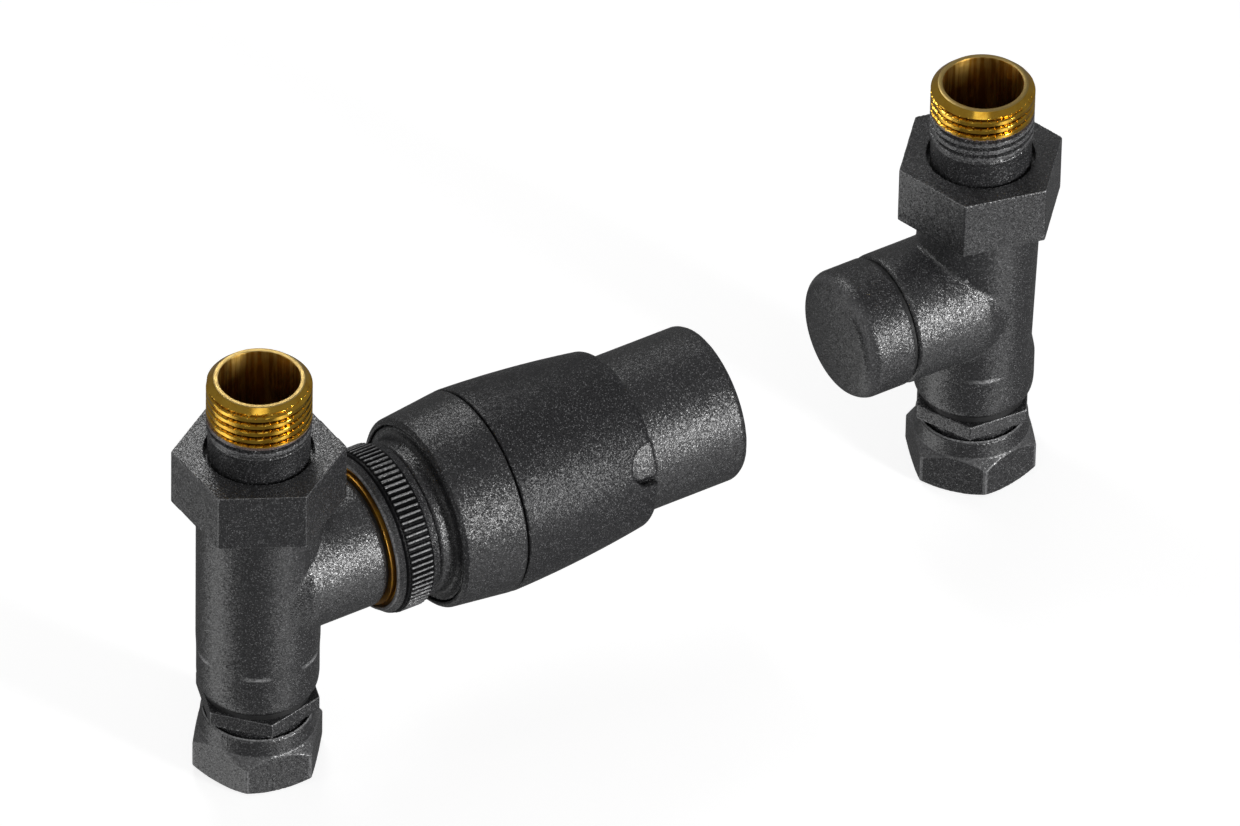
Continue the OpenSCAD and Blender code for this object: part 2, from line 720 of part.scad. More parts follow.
// Frame of the notch: its z points out of the sleeve, its x along the head towards the end
module at_notch() {
    rotate([0, 0, 180 + notch_angle]) translate([0, 0, notch_x]) rotate([0, 90, 0]) rotate([0, 0, 180])
        children();
}

// Outline of the lug: it fills the notch but for its play and the gap below
module lug_outline() {
    r = notch_r - lug_play;
    intersection() {
        union() {
            circle(r = r);
            translate([0, -r]) square([2 * notch_r, 2 * r]);
        }
        translate([-notch_r, lug_gap - notch_r]) square([3 * notch_r, 2 * notch_r]);
    }
}

// The end sleeve is a closed tube that turns with the handle and holds the sensor
module end_sleeve() {
    flange_end = rib_x - 2 * seat;
    color(coat) at_trv_branch() {
        difference() {
            union() {
                turned([[0, end_front], [end_flange_r, end_front], [end_flange_r, flange_end],
                        [end_r, flange_end], [end_r, head_end - end_chamfer],
                        [end_r - end_chamfer * 0.6, head_end], [0, head_end]]);
                intersection() {
                    at_notch() linear_extrude(height = 2 * end_r) lug_outline();
                    ring(end_r + lug_h, 0, notch_x - 2 * notch_r, outer_end);
                }
            }
            translate([0, 0, end_front - over])
                cylinder(r = end_in_r, h = head_end - end_cap_t - end_front + over);
        }
    }
}

module push_rod() {
    color(white_plastic) at_trv_branch() {
        ring(rod_r, 0, rod_x, capsule_x);
        ring(rod_flange_r, 0, rod_flange_x, rod_flange_x + rod_flange_t);
    }
}

module relief_spring() {
    color(steel) at_trv_branch()
        spring_turns(rod_flange_r - 1.5, relief_wire, rod_flange_x + rod_flange_t, capsule_x);
}

// A thin can that holds the liquid, with its filling hole in the far end
module sensor_capsule() {
    r = capsule_round;
    capsule_end = capsule_x + capsule_l;
    color(bright_brass) at_trv_branch() difference() {
        rotate_extrude() union() {
            translate([0, capsule_x]) square([capsule_r - r, capsule_l]);
            translate([0, capsule_x + r]) square([capsule_r, capsule_l - 2 * r]);
            for (z = [capsule_x + r, capsule_end - r]) intersection() {
                translate([capsule_r - r, z]) circle(r = r);
                translate([0, z - r]) square([capsule_r, 2 * r]);
            }
        }
        ring(capsule_r - capsule_wall, 0, capsule_x + capsule_wall, capsule_end - capsule_wall);
        ring(fill_hole_r, 0, capsule_end - 2 * capsule_wall, capsule_end + 1);
    }
}

module setting_nut() {
    color(white_plastic) at_trv_branch() ring(end_in_r - run, capsule_r, setting_x, setting_x + setting_l);
}

module bonnet() {
    screw_bore_l = ls_branch_l - fine_edge - bonnet_nose;
    flange_middle = bonnet_x + bonnet_flange_t / 2;
    color(bright_brass) at_ls_branch() difference() {
        union() {
            ring(mouth_r - seat, 0, bonnet_nose, flange_middle);
            ring(cap_in_r - fine_edge, 0, bonnet_x, bonnet_x + bonnet_flange_t);
            hex(bonnet_af, flange_middle, bonnet_end, 0);
        }
        translate([0, 0, bonnet_nose - over]) cylinder(r = ls_screw_r + run, h = screw_bore_l + over);
        translate([0, 0, bonnet_nose]) cylinder(r = ls_spindle_r + run, h = bonnet_end);
        gland_groove(ls_spindle_r, ls_gland_x);
    }
}

module bonnet_seal() {
    color(black_rubber) at_ls_branch() ring(bonnet_seal_r, mouth_r + seat, bonnet_seal_x, bonnet_x);
}

module ls_gland() {
    color(black_rubber) at_ls_branch() o_ring(ls_spindle_r + run, gland_ring_r, ls_gland_x);
}

module lockshield_spindle() {
    square_x = ls_spindle_end - square_l;
    color(steel) at_ls_branch() {
        ring(ls_spindle_r, 0, ls_spindle_x, square_x);
        ring(ls_screw_r, 0, screw_x, screw_x + screw_l);
        translate([-square_af / 2, -square_af / 2, square_x - over])
            cube([square_af, square_af, square_l + over]);
    }
}

// The cap is a push-on shell with a rounded rim and a shallow dome
module cap_outline() {
    flat_z = cap_end - cap_dome;
    face_r = cap_r - cap_round;
    dome_r = (face_r * face_r + cap_dome * cap_dome) / (2 * cap_dome);
    translate([0, cap_x]) square([cap_r, cap_l - cap_round - cap_dome]);
    translate([0, cap_x]) square([face_r, cap_l - cap_dome]);
    translate([face_r, flat_z - cap_round]) intersection() {
        circle(r = cap_round);
        square(cap_round);
    }
    intersection() {
        translate([0, cap_end - dome_r]) circle(r = dome_r, $fn = 720);
        translate([0, flat_z]) square([face_r, cap_dome]);
    }
}

module lockshield_cap() {
    color(coat) at_ls_branch() difference() {
        rotate_extrude() cap_outline();
        translate([0, 0, cap_x - over]) cylinder(r = cap_in_r, h = cap_l - cap_dome - cap_end_t + over);
    }
}

trv_valve_body();
union_nut(trv_union_turn);  // trv_union_nut
tailpiece();  // trv_tailpiece
tail_washer();  // trv_tail_washer
insert_housing();  // trv_insert_housing
insert_seal();  // trv_insert_seal
gland_ring();  // trv_gland_ring
insert_spindle();  // trv_insert_spindle
at_trv_branch() valve_disc(disc_x);  // trv_insert_disc
at_trv_branch() seat_washer(washer_x);  // trv_seat_washer
insert_spring();  // trv_insert_spring
collar_nut();  // trv_collar_nut
pipe_adaptor(trv_adaptor_turn);  // trv_pipe_adaptor
adaptor_seal();  // trv_adaptor_seal
olive();  // trv_olive
compression_nut(trv_comp_turn);  // trv_compression_nut
head_neck();
snap_ring();  // head_snap_ring
lower_sleeve();  // head_lower_sleeve
outer_sleeve();  // head_outer_sleeve
end_sleeve();  // head_end_sleeve
handle_clip();  // head_handle_clip
push_rod();  // head_push_rod
relief_spring();  // head_relief_spring
sensor_capsule();  // head_sensor_capsule
setting_nut();  // head_setting_nut
ls_valve_body();
at_ls() union_nut(ls_union_turn);  // ls_union_nut
at_ls() tailpiece();  // ls_tailpiece
at_ls() tail_washer();  // ls_tail_washer
bonnet();  // ls_bonnet
bonnet_seal();  // ls_bonnet_seal
ls_gland();  // ls_gland_ring
lockshield_spindle();  // ls_spindle
at_ls_branch() valve_disc(ls_disc_x);  // ls_valve_disc
at_ls_branch() seat_washer(ls_washer_x);  // ls_seat_washer
lockshield_cap();  // ls_cap
at_ls() pipe_adaptor(ls_adaptor_turn);  // ls_pipe_adaptor
at_ls() adaptor_seal();  // ls_adaptor_seal
at_ls() olive();  // ls_olive
at_ls() compression_nut(ls_comp_turn);  // ls_compression_nut
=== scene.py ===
import json
import math
from collections import namedtuple

import bmesh
import bpy
from mathutils import Matrix, Vector


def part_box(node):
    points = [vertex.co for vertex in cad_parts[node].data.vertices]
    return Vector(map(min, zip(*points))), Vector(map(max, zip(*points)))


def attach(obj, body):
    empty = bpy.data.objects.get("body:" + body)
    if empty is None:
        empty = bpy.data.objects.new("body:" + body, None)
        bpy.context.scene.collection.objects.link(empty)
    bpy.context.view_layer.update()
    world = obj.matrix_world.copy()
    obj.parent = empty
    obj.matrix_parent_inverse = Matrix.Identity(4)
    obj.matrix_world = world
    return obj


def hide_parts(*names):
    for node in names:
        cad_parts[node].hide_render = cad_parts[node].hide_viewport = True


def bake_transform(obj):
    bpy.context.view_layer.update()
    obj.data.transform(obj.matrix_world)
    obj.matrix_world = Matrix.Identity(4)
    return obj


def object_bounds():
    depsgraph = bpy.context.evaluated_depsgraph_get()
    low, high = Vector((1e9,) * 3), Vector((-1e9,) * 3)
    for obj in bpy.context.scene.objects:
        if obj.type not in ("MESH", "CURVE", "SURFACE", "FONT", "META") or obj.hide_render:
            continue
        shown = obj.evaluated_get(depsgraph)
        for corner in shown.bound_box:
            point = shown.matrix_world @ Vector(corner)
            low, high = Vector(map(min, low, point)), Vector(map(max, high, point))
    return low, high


MM = 0.001

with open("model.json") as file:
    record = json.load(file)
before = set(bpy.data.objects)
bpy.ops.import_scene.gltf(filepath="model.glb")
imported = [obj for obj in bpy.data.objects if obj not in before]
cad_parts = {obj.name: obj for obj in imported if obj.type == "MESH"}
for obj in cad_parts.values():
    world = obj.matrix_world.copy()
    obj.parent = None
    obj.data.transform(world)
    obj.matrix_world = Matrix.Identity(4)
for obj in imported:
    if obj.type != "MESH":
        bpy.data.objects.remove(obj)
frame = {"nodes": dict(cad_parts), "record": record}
cad_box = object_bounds()
nodes = frame["nodes"]
scene = bpy.context.scene


# ---------------------------------------------------------------- the frame

def mount(name):
    """Position and radius of one of the record's mounts."""
    found = next(m for m in frame["record"]["mounts"] if m["name"] == name)
    return Vector(found["pos_m"]), found["dims"]["r_mm"] * MM


def top(node):
    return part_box(node)[1].z


def near_end(node):
    """The point of a lengthwise piece's axis at its lower X end, and the piece's radius."""
    low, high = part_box(node)
    return Vector((low.x, (low.y + high.y) / 2, (low.z + high.z) / 2)), (high.y - low.y) / 2


def branch_side(node, axis):
    """1 where a body's branch points along +X from its upright axis, -1 where it points along -X."""
    low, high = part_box(node)
    return 1 if high.x - axis.x > axis.x - low.x else -1


TRV_AXIS = mount("trv_radiator_tail")[0]
LS_AXIS = mount("ls_radiator_tail")[0]
RIM_Z = top("trv_tailpiece")
UNION_TOP = top("trv_union_nut")
MIDDLE = (cad_box[0] + cad_box[1]) / 2


# ---------------------------------------------------------------- node helpers

LENGTHWISE, UPRIGHT = 0, 2


class Nodes:
    """The node tree of a material or the world, with short calls for the nodes used here.

    object is the place on a piece at rest. way is the direction that the world is looked up in.
    """

    def __init__(self, owner):
        owner.use_nodes = True
        self.owner = owner
        self.tree = owner.node_tree
        coordinates = self.add("ShaderNodeTexCoord")
        self.object, self.way = coordinates.outputs["Object"], coordinates.outputs["Generated"]

    def add(self, kind, **settings):
        node = self.tree.nodes.new(kind)
        for key, value in settings.items():
            setattr(node, key, value)
        return node

    def link(self, value, socket):
        """Puts a number, a colour or another node's output into a socket."""
        if isinstance(value, bpy.types.NodeSocket):
            self.tree.links.new(value, socket)
        elif isinstance(value, (tuple, list)) and len(value) == 3 and socket.type == "RGBA":
            socket.default_value = (*value, 1)
        else:
            socket.default_value = value

    def math(self, operation, a, b=0.0, c=0.0):
        node = self.add("ShaderNodeMath", operation=operation)
        for value, socket in zip((a, b, c), node.inputs):
            self.link(value, socket)
        return node.outputs[0]

    def split(self, a):
        """The x, y and z of a vector."""
        node = self.add("ShaderNodeSeparateXYZ")
        self.link(a, node.inputs[0])
        return node.outputs[:]

    def vector(self, operation, a, b=(0, 0, 0), scale=1.0):
        node = self.add("ShaderNodeVectorMath", operation=operation)
        self.link(a, node.inputs[0])
        self.link(b, node.inputs[1])
        if operation == "SCALE":
            self.link(scale, node.inputs["Scale"])
        return node.outputs["Value" if operation in ("LENGTH", "DOT_PRODUCT") else "Vector"]

    def place(self, origin):
        """The place on a piece, measured from an origin."""
        return self.vector("SUBTRACT", self.object, origin)

    def about(self, axis, place):
        """Distance of a place from the LENGTHWISE or UPRIGHT axis, and the way along that axis."""
        across = [0.0 if i == axis else 1.0 for i in range(3)]
        radius = self.vector("LENGTH", self.vector("MULTIPLY", place, across))
        return radius, self.split(place)[axis]

    def noise(self, size, detail=2.0, where=None):
        """Smooth noise whose features are about size metres across."""
        node = self.add("ShaderNodeTexNoise")
        self.link(where or self.object, node.inputs["Vector"])
        node.inputs["Scale"].default_value = 1 / size
        node.inputs["Detail"].default_value = detail
        return node.outputs["Fac"]

    def cells(self, size):
        """A random colour for each cell of about size metres."""
        node = self.add("ShaderNodeTexVoronoi")
        self.link(self.object, node.inputs["Vector"])
        node.inputs["Scale"].default_value = 1 / size
        return node.outputs["Color"]

    def ramp(self, value, low, high, from_value=0.0, to_value=1.0):
        """Runs smoothly from from_value to to_value as value goes from low to high."""
        node = self.add("ShaderNodeMapRange", interpolation_type="SMOOTHSTEP")
        for number, socket in zip((value, low, high, from_value, to_value), node.inputs):
            self.link(number, socket)
        return node.outputs[0]

    def mix(self, factor, a, b):
        """Mixes two colours."""
        node = self.add("ShaderNodeMix", data_type="RGBA")
        self.link(factor, node.inputs["Factor"])
        self.link(a, node.inputs[6])
        self.link(b, node.inputs[7])
        return node.outputs[2]

    def bump(self, height, distance, normal=None, strength=1.0):
        node = self.add("ShaderNodeBump")
        node.inputs["Distance"].default_value = distance
        node.inputs["Strength"].default_value = strength
        self.link(height, node.inputs["Height"])
        if normal is not None:
            self.link(normal, node.inputs["Normal"])
        return node.outputs["Normal"]

    def finish(self, **inputs):
        """Sets the material's shader; an underscore in a name stands for a space."""
        for name, value in inputs.items():
            self.link(value, self.tree.nodes["Principled BSDF"].inputs[name.replace("_", " ")])
        return self.owner


def new_material(name):
    return Nodes(bpy.data.materials.new(name))


# ---------------------------------------------------------------- graphite coat

COAT_DARK = (0.011, 0.011, 0.012)
COAT_LIGHT = (0.033, 0.033, 0.035)
COAT_FLAKE = (0.20, 0.20, 0.205)
# The lighter coat of rubbed edges and of painted highlights on edges and crests.
COAT_WORN_AND_LIT = (0.33, 0.33, 0.335)
METAL_GLOSS, END_GLOSS, OUTER_GLOSS, LOWER_GLOSS = 0.95, 0.70, 0.32, 0.55
GRAIN_SIZE, FLAKE_SIZE = 0.20 * MM, 0.17 * MM
GRAIN_LEAN = 0.39
FLAKE_STRENGTH = 0.8


def worn_and_lit_edges(n):
    """Share of lighter coat on a piece's outside edges: partly rubbed coat, partly painted highlight."""
    geometry = n.add("ShaderNodeNewGeometry")
    return n.ramp(geometry.outputs["Pointiness"], 0.532, 0.556)


def coat_parts(n, wear_and_highlight=None):
    """Colour, roughness and normal of the sandy graphite powder coat; the last argument gives the share
    of lighter coat, partly rubbed coat and partly painted highlight.
    """
    flakes = n.add("ShaderNodeSeparateColor")
    n.link(n.cells(FLAKE_SIZE), flakes.inputs[0])
    is_flake = n.ramp(flakes.outputs[0], 0.90, 0.96)
    mottle = n.noise(0.26 * MM, 3.0)
    colour = n.mix(n.ramp(mottle, 0.35, 0.68), COAT_DARK, COAT_LIGHT)
    colour = n.mix(n.math("MULTIPLY", is_flake, FLAKE_STRENGTH), colour, COAT_FLAKE)
    if wear_and_highlight:
        # Rubbed places and painted highlights show lighter, broken up by the grain.
        broken = n.ramp(n.noise(0.40 * MM, 2.0), 0.30, 0.60, 0.2, 0.95)
        colour = n.mix(n.math("MULTIPLY", wear_and_highlight(n), broken), colour, COAT_WORN_AND_LIT)
    roughness = n.ramp(flakes.outputs[1], 0, 1, 0.25, 0.43)
    # Each grain leans its own way, so a highlight breaks up into bright and dark specks.
    geometry = n.add("ShaderNodeNewGeometry")
    lean = n.vector("SUBTRACT", n.cells(GRAIN_SIZE), (0.5, 0.5, 0.5))
    leaning = n.vector("ADD", geometry.outputs["Normal"], n.vector("SCALE", lean, scale=GRAIN_LEAN))
    leaning = n.vector("NORMALIZE", leaning)
    lumps = n.math("ADD", n.noise(0.22 * MM, 2.0), n.math("MULTIPLY", n.noise(0.9 * MM), 0.6))
    normal = n.bump(lumps, 0.03 * MM, leaning, 0.6)
    return colour, roughness, normal


def make_coat(name, gloss, wear_and_highlight=None):
    n = new_material(name)
    colour, roughness, normal = coat_parts(n, wear_and_highlight)
    return n.finish(Base_Color=colour, Roughness=roughness, Normal=normal, Specular_IOR_Level=gloss)


# ---------------------------------------------------------------- brass tails

BRASS = (0.90, 0.54, 0.070)
BRASS_DEEP = (0.70, 0.37, 0.035)
# Painted shade for the thread's roots and nicks.
BRASS_GROOVE_SHADE = (0.10, 0.045, 0.008)
BRASS_RIM = (0.52, 0.39, 0.16)
BRASS_BORE = (0.62, 0.40, 0.10)
# A darker brown for the streaks of painted reflection in the bore.
BRASS_STREAK_REFLECTION = (0.40, 0.19, 0.025)
THIN_COAT = (0.16, 0.085, 0.065)
TURNING = 2 * math.pi / (0.22 * MM)

TAIL_BORE_R, TAIL_RIM_R, TAIL_SHANK_R = 8.05 * MM, 9.0 * MM, 10.15 * MM
THREAD_R = mount("trv_radiator_tail")[1]
# Radii in the thread's finish: painted shade thins out from the groove to the shoulder; the coat's
# lightening on the crests, rubbed coat and painted highlight, grows from the shoulder to the crest.
GROOVE_R, SHOULDER_R, CREST_R = 9.90 * MM, 10.30 * MM, 10.44 * MM


def make_tail(name, axis, bare, raggedness):
    """Brass tail whose lower outside carries the coat; bare is the length below the rim without it."""
    n = new_material(name)
    place = n.place((axis.x, axis.y, 0))
    radius, height = n.about(UPRIGHT, place)
    inside = n.ramp(radius, TAIL_BORE_R + 0.10 * MM, TAIL_BORE_R + 0.25 * MM, 1, 0)
    outside = n.ramp(radius, TAIL_RIM_R - 0.1 * MM, TAIL_RIM_R + 0.1 * MM)
    rim = n.ramp(height, RIM_Z - 0.14 * MM, RIM_Z - 0.05 * MM)

    # The coat ends in a ragged line, is thin just below it and is lighter on the thread's crests: rubbed
    # coat and a painted highlight.
    coat_end = RIM_Z - bare
    edge = n.math("MULTIPLY", n.math("SUBTRACT", n.noise(0.7 * MM, 3.0), 0.5), raggedness)
    level = n.math("ADD", height, edge)
    below = n.ramp(level, coat_end - 0.12 * MM, coat_end + 0.12 * MM, 1, 0)
    painted = n.math("MULTIPLY", below, outside)
    colour, roughness, normal = coat_parts(n)
    rubbed_and_lit = n.ramp(n.noise(0.3 * MM), 0.42, 0.6, 0.0, 0.45)
    rubbed_and_lit = n.math("MULTIPLY", rubbed_and_lit, n.ramp(radius, SHOULDER_R, CREST_R))
    colour = n.mix(rubbed_and_lit, colour, COAT_WORN_AND_LIT)
    thin = n.ramp(level, coat_end - 1.1 * MM, coat_end - 0.1 * MM, 0, 0.6)
    colour = n.mix(thin, colour, THIN_COAT)

    stain = n.noise(2.2 * MM, 4.0)
    brass = n.mix(n.ramp(stain, 0.35, 0.75), BRASS, BRASS_DEEP)
    # The roots of the thread and the nicks in it get painted shade, a dull dark brown, but not the
    # chamfer at the rim.
    groove_shade = n.ramp(radius, GROOVE_R, SHOULDER_R, 0.95, 0)
    below_chamfer = n.ramp(height, RIM_Z - 1.8 * MM, RIM_Z - 1.5 * MM, 1, 0)
    brass = n.mix(n.math("MULTIPLY", groove_shade, below_chamfer), brass, BRASS_GROOVE_SHADE)
    # The bore is a darker brass, with streaks of painted reflection along it.
    reflection_streaks = n.noise(0.9 * MM, 4.0, n.vector("MULTIPLY", place, (1, 1, 0.06)))
    brass = n.mix(inside, brass, n.mix(n.ramp(reflection_streaks, 0.42, 0.58), BRASS_BORE, BRASS_STREAK_REFLECTION))
    brass = n.mix(n.math("MULTIPLY", rim, 0.85), brass, BRASS_RIM)

    # Fine lathe lines: rings on the flat rim, hoops on the sides.
    turning = n.math("SINE", n.math("MULTIPLY", n.math("ADD", radius, height), TURNING))
    uneven = n.noise(0.66 * MM, 3.0, n.vector("MULTIPLY", place, (0.05, 0.05, 1)))
    lines = n.math("ADD", turning, n.math("MULTIPLY", uneven, 2.5))
    brass_normal = n.bump(lines, 0.012 * MM, None, 0.6)
    brass_roughness = n.ramp(stain, 0.3, 0.8, 0.14, 0.24)
    brass_roughness = n.math("ADD", brass_roughness, n.math("MULTIPLY", inside, 0.20))
    brass_roughness = n.math("ADD", brass_roughness, n.math("MULTIPLY", rim, 0.22))
    # Where the coat lies, its roughness takes the place of the bare outside's, which is about this.
    outside_roughness = 0.19
    coat_gain = n.math("MULTIPLY", painted, n.math("SUBTRACT", roughness, outside_roughness))
    return n.finish(Base_Color=n.mix(painted, brass, colour),
                    Metallic=n.math("SUBTRACT", 1, painted),
                    Specular_IOR_Level=METAL_GLOSS,
                    Roughness=n.math("ADD", brass_roughness, coat_gain),
                    Normal=n.mix(painted, brass_normal, normal))


# ---------------------------------------------------------------- other materials

BRASS_RING = (0.58, 0.29, 0.07)
RUBBER_DARK, RUBBER_LIGHT = (0.008, 0.008, 0.008), (0.02, 0.02, 0.021)
STEEL_DARK, STEEL_LIGHT = (0.42, 0.43, 0.45), (0.62, 0.62, 0.63)
PLASTIC_DARK, PLASTIC_LIGHT = (0.66, 0.66, 0.63), (0.72, 0.72, 0.70)


def make_brass():
    """Brass turned about a lengthwise axis: fine hoops and a little tarnish."""
    n = new_material("turned_brass")
    stain = n.noise(2.5 * MM, 4.0)
    hoops = n.noise(0.35 * MM, 2.0, n.vector("MULTIPLY", n.object, (1, 0.15, 0.15)))
    return n.finish(Base_Color=n.mix(n.ramp(stain, 0.35, 0.75), BRASS_RING, BRASS_DEEP),
                    Metallic=1.0,
                    Roughness=n.ramp(stain, 0.3, 0.8, 0.36, 0.50),
                    Normal=n.bump(hoops, 0.02 * MM))


def make_rubber():
    n = new_material("black_rubber")
    bloom = n.noise(1.5 * MM, 3.0)
    return n.finish(Base_Color=n.mix(bloom, RUBBER_DARK, RUBBER_LIGHT),
                    Roughness=n.ramp(bloom, 0.3, 0.7, 0.55, 0.75),
                    Normal=n.bump(n.noise(0.3 * MM), 0.01 * MM))


def make_steel():
    n = new_material("drawn_steel")
    lines = n.noise(0.4 * MM, 2.0, n.vector("MULTIPLY", n.object, (1, 0.1, 0.1)))
    return n.finish(Base_Color=n.mix(lines, STEEL_DARK, STEEL_LIGHT),
                    Metallic=1.0,
                    Roughness=n.ramp(lines, 0.3, 0.7, 0.24, 0.38),
                    Normal=n.bump(lines, 0.01 * MM))


def make_white_plastic():
    n = new_material("white_plastic")
    mottle = n.noise(1.2 * MM, 3.0)
    return n.finish(Base_Color=n.mix(mottle, PLASTIC_DARK, PLASTIC_LIGHT),
                    Roughness=n.ramp(mottle, 0.3, 0.7, 0.38, 0.48),
                    Normal=n.bump(n.noise(0.4 * MM), 0.008 * MM))


coat = make_coat("graphite_coat", METAL_GLOSS, worn_and_lit_edges)
end_coat = make_coat("graphite_end_coat", END_GLOSS)
outer_coat = make_coat("graphite_outer_coat", OUTER_GLOSS)
lower_coat = make_coat("graphite_lower_coat", LOWER_GLOSS)
trv_tail_finish = make_tail("trv_tail_finish", TRV_AXIS, bare=9.3 * MM, raggedness=0.5 * MM)
ls_tail_finish = make_tail("ls_tail_finish", LS_AXIS, bare=6.3 * MM, raggedness=1.3 * MM)
by_slot = {
    "metal_coat": coat,
    "shell_coat": coat,
    "brass": make_brass(),
    "black_rubber": make_rubber(),
    "steel": make_steel(),
    "white_plastic": make_white_plastic(),
}
slot_of = {row["node"]: row["material_slot"] for row in frame["record"]["subparts"]}
body_of = {node: body for body, members in frame["record"]["behaviour"]["bodies"].items()
           for node in members}


# ---------------------------------------------------------------- pieces

def paint(piece, material):
    piece.data.materials.clear()
    piece.data.materials.append(material)
    for slot in piece.material_slots:
        slot.material = material


def smooth_by_angle(piece, degrees):
    """Smooth shading that keeps the edges sharper than an angle."""
    for polygon in piece.data.polygons:
        polygon.use_smooth = True
    piece.data.set_sharp_from_angle(angle=math.radians(degrees))


def new_piece(name, mesh):
    piece = bpy.data.objects.new(name, mesh)
    scene.collection.objects.link(piece)
    return piece


def stands_for(piece, node, material):
    """The piece takes a node's place on its body, with its own finish."""
    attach(piece, body_of[node])
    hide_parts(node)
    paint(piece, material)


def clamped(value):
    return min(max(value, 0.0), 1.0)


def eased(value):
    """Runs smoothly from 0 to 1."""
    value = clamped(value)
    return value * value * (3 - 2 * value)


for name, node in nodes.items():
    paint(node, by_slot[slot_of[name]])
    smooth_by_angle(node, 30)


# ---------------------------------------------------------------- cast and coated pieces

def apply_modifiers(piece):
    graph = bpy.context.evaluated_depsgraph_get()
    mesh = bpy.data.meshes.new_from_object(piece.evaluated_get(graph))
    piece.modifiers.clear()
    piece.data = mesh


def soften(node, voxel, passes, shape=None, material=coat):
    """A coated copy of a node: its edges and inside corners are rounded as thick powder coat does.

    shape gives a vertex of the copy its new place.
    """
    piece = new_piece(node + "_coated", nodes[node].data.copy())
    remesh = piece.modifiers.new("skin", "REMESH")
    remesh.mode = "VOXEL"
    remesh.voxel_size = voxel
    rounding = piece.modifiers.new("rounding", "SMOOTH")
    rounding.factor = 0.5
    rounding.iterations = passes
    apply_modifiers(piece)
    if shape:
        for vertex in piece.data.vertices:
            vertex.co = shape(vertex)
    for polygon in piece.data.polygons:
        polygon.use_smooth = True
    stands_for(piece, node, material)


FOOT_H, FOOT_FULLER, FOOT_ROUND = 12.2 * MM, 0.60 * MM, 2.4 * MM
ROUND_SHARE = 0.35
BARREL_INSIDE_R, BARREL_OUTSIDE_R = 9.9 * MM, 10.6 * MM
RIDGE_UP, RIDGE_H, RIDGE_HALF = 10.4 * MM, 0.38 * MM, 0.32 * MM

# The forging's ridge shows count times round a body, first at turn; power makes it shorter.
Ridge = namedtuple("Ridge", "turn count power")
TRV_RIDGE = Ridge(turn=math.radians(-122), count=6, power=1.0)
LS_RIDGE = Ridge(turn=math.radians(-110), count=1, power=40.0)


def body_wear_and_highlight(node, axis, ridge):
    """Lighter coat on a body: rubbed coat and painted highlight on the outside edges about its branch,
    and a painted highlight on the crests of the forging's ridge.
    """
    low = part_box(node)[0]
    side = branch_side(node, axis)

    def wear_and_highlight(n):
        x, y, up = n.split(n.place((axis.x, axis.y, low.z)))
        angle = n.math("MULTIPLY_ADD", n.math("ARCTAN2", y, x), ridge.count, -ridge.count * ridge.turn)
        share = n.math("POWER", n.math("MAXIMUM", n.math("COSINE", angle), 0.0), ridge.power)
        away = n.math("ABSOLUTE", n.math("SUBTRACT", up, RIDGE_UP))
        ragged = n.math("ADD", away, n.math("MULTIPLY", n.noise(1.1 * MM, 3.0), 0.8 * MM))
        # The ridge's crest is painted lighter: a painted highlight.
        crest = n.math("MULTIPLY", share, n.ramp(ragged, 0.55 * MM, 1.05 * MM, 1, 0))
        above_foot = n.ramp(up, FOOT_H, FOOT_H + 2 * MM)
        by_branch = n.ramp(n.math("MULTIPLY", x, side), 3 * MM, 7 * MM)
        edges = n.math("MULTIPLY", worn_and_lit_edges(n), n.math("MULTIPLY", above_foot, by_branch))
        return n.math("MAXIMUM", edges, crest)
    return wear_and_highlight


def forged_body(node, axis, ridge, hollow_back):
    """Shape of a body: a fuller foot than the CAD's cone, rounded under, and the forging's ridge.

    hollow_back is how far the barrel draws in on the side away from the branch, above the foot.
    """
    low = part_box(node)[0]
    side = branch_side(node, axis)
    full_up, drawn_up, end_up = 8.5 * MM, 14 * MM, 44 * MM

    def shape(vertex):
        co = vertex.co
        up = co.z - low.z
        out = Vector((co.x - axis.x, co.y - axis.y))
        if out.length < BARREL_INSIDE_R or up > end_up:
            return co
        angle = math.atan2(out.y, out.x)
        gain = 0.0
        if up < FOOT_H:
            gain = FOOT_FULLER * (1 - eased(up / FOOT_H))
            lean = max(FOOT_ROUND - up, 0)
            gain -= ROUND_SHARE * (FOOT_ROUND - math.sqrt(max(FOOT_ROUND ** 2 - lean ** 2, 0)))
            share = max(math.cos(ridge.count * (angle - ridge.turn)), 0) ** ridge.power
            gain += RIDGE_H * share * math.exp(-((up - RIDGE_UP) / RIDGE_HALF) ** 2)
        if hollow_back and up > full_up:
            drawn = eased((up - full_up) / (drawn_up - full_up)) * (end_up - up) / (end_up - drawn_up)
            gain -= hollow_back * min(drawn, 1.0) * eased(-side * math.cos(angle))
        gain *= eased((out.length - BARREL_INSIDE_R) / (BARREL_OUTSIDE_R - BARREL_INSIDE_R))
        out = out.normalized() * (out.length + gain)
        return Vector((axis.x + out.x, axis.y + out.y, co.z))
    return shape


def round_cap():
    """Shape of the cap's end: a wider rounding and a fuller dome than the CAD's."""
    end, cap_r = near_end("ls_cap")
    rounding, dome, wall = 3.2 * MM, 1.0 * MM, 0.6 * MM
    middle_r = cap_r - rounding
    outward = -0.3

    def dome_depth(radius):
        return dome * (radius / cap_r) ** 2

    def shape(vertex):
        co = vertex.co
        side = Vector((co.y - end.y, co.z - end.z))
        radius, depth = side.length, co.x - end.x
        if depth > dome + rounding:
            return co
        if radius <= middle_r:
            on_face = vertex.normal.x < outward
            return Vector((end.x + dome_depth(radius), co.y, co.z)) if on_face else co
        away = Vector((radius - middle_r, depth - dome_depth(radius) - rounding))
        if away.length < rounding - wall:
            return co
        away = away.normalized() * rounding
        radius = middle_r + away.x
        side = side.normalized() * radius
        depth = dome_depth(radius) + rounding + away.y
        return Vector((end.x + depth, end.y + side.x, end.z + side.y))
    return shape


